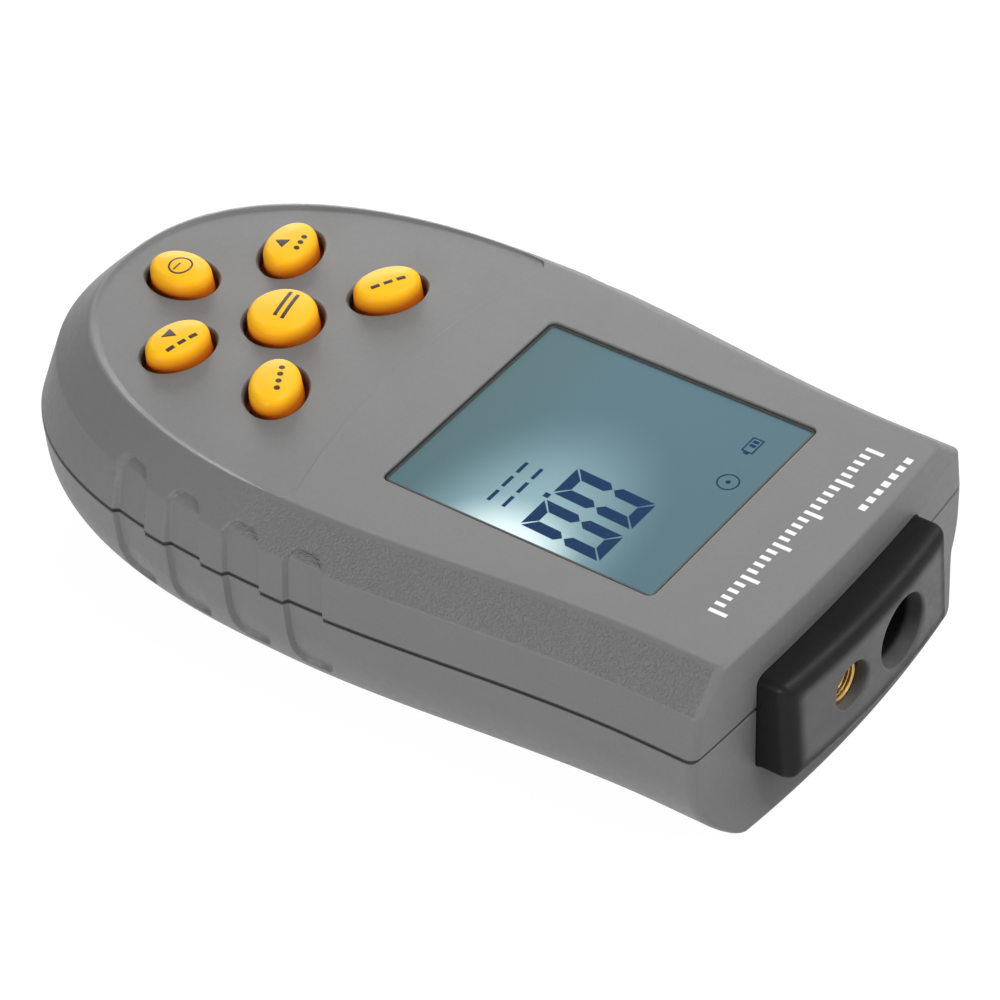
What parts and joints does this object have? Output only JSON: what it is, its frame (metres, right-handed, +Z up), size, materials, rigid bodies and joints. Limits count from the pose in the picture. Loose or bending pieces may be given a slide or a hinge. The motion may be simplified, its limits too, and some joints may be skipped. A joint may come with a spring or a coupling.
{
  "type": "laser tachometer",
  "caption": "Hand-held laser tachometer: rounded grey case with grip flutes, window display, yellow keys, sensor block with two apertures and a sliding battery door.",
  "frame": {"origin": "under the middle of the object's bounding box, on the surface that its back lies on", "axes": "+Y from the handle end to the sensor end, +Z up out of the display, +X to the right of someone who holds it with the display towards them"},
  "size_m": [0.0704, 0.13, 0.0315],
  "materials": {
    "case_grey": "moulded, fine grain on the bevel",
    "block_black": "moulded, low gloss",
    "lens_clear": "clear, polished",
    "lcd_teal": "backlit liquid crystal behind a polariser",
    "white_plastic": "diffusing",
    "zebra_rubber": "layered",
    "board_green": "solder mask",
    "screw_steel": "zinc plated",
    "mat_rubber": "silicone, matt",
    "pad_gold": "plated",
    "barrel_brass": "turned",
    "optic_clear": "polished",
    "black_plastic": "moulded",
    "battery_can": "printed can",
    "lead_red": "insulated wire",
    "carbon_black": "matt",
    "foam_grey": "open foam",
    "capacitor_sleeve": "shrink sleeve",
    "key_rubber": "silicone, satin"
  },
  "bodies": {
    "case": {"top_shell": "case_grey", "bottom_shell": "case_grey", "sensor_block": "block_black", "display_lens": "lens_clear", "lcd_glass": "lcd_teal", "lcd_frame": "white_plastic", "backlight_panel": "white_plastic", "contact_strip": "zebra_rubber", "main_board": "board_green", "board_screws": "screw_steel", "case_screws": "screw_steel", "keypad_mat": "mat_rubber", "contact_pads": "pad_gold", "laser_barrel": "barrel_brass", "laser_lens": "optic_clear", "laser_diode": "barrel_brass", "receiver_lens": "optic_clear", "photodiode": "black_plastic", "sensor_board": "board_green", "board_connector": "black_plastic", "battery": "battery_can", "battery_snap": "black_plastic", "battery_lead_red": "lead_red", "battery_lead_black": "carbon_black", "foam_pad": "foam_grey", "controller_chip": "black_plastic", "crystal": "screw_steel", "capacitor": "capacitor_sleeve"},
    "door": {"battery_door": "case_grey"},
    "button_centre": {"key_centre": "key_rubber", "pill_centre": "carbon_black"},
    "button_upper_right": {"key_upper_right": "key_rubber", "pill_upper_right": "carbon_black"},
    "button_upper_left": {"key_upper_left": "key_rubber", "pill_upper_left": "carbon_black"},
    "button_lower_right": {"key_lower_right": "key_rubber", "pill_lower_right": "carbon_black"},
    "button_lower_left": {"key_lower_left": "key_rubber", "pill_lower_left": "carbon_black"},
    "button_end_button": {"key_end_button": "key_rubber", "pill_end_button": "carbon_black"}
  },
  "joints": [
    {"name": "battery_door_slide", "type": "slide", "parent": "case", "child": "door", "axis": [0, -1, 0], "range_m": [0, 0.056]},
    {"name": "press_centre", "type": "slide", "parent": "case", "child": "button_centre", "axis": [0, 0, -1], "range_m": [0, 0.001], "stiffness_N_per_m": 1000, "springref_m": -0.0004},
    {"name": "press_upper_right", "type": "slide", "parent": "case", "child": "button_upper_right", "axis": [0, 0, -1], "range_m": [0, 0.001], "stiffness_N_per_m": 1000, "springref_m": -0.0004},
    {"name": "press_upper_left", "type": "slide", "parent": "case", "child": "button_upper_left", "axis": [0, 0, -1], "range_m": [0, 0.001], "stiffness_N_per_m": 1000, "springref_m": -0.0004},
    {"name": "press_lower_right", "type": "slide", "parent": "case", "child": "button_lower_right", "axis": [0, 0, -1], "range_m": [0, 0.001], "stiffness_N_per_m": 1000, "springref_m": -0.0004},
    {"name": "press_lower_left", "type": "slide", "parent": "case", "child": "button_lower_left", "axis": [0, 0, -1], "range_m": [0, 0.001], "stiffness_N_per_m": 1000, "springref_m": -0.0004},
    {"name": "press_end_button", "type": "slide", "parent": "case", "child": "button_end_button", "axis": [0, 0, -1], "range_m": [0, 0.001], "stiffness_N_per_m": 1000, "springref_m": -0.0004}
  ]
}
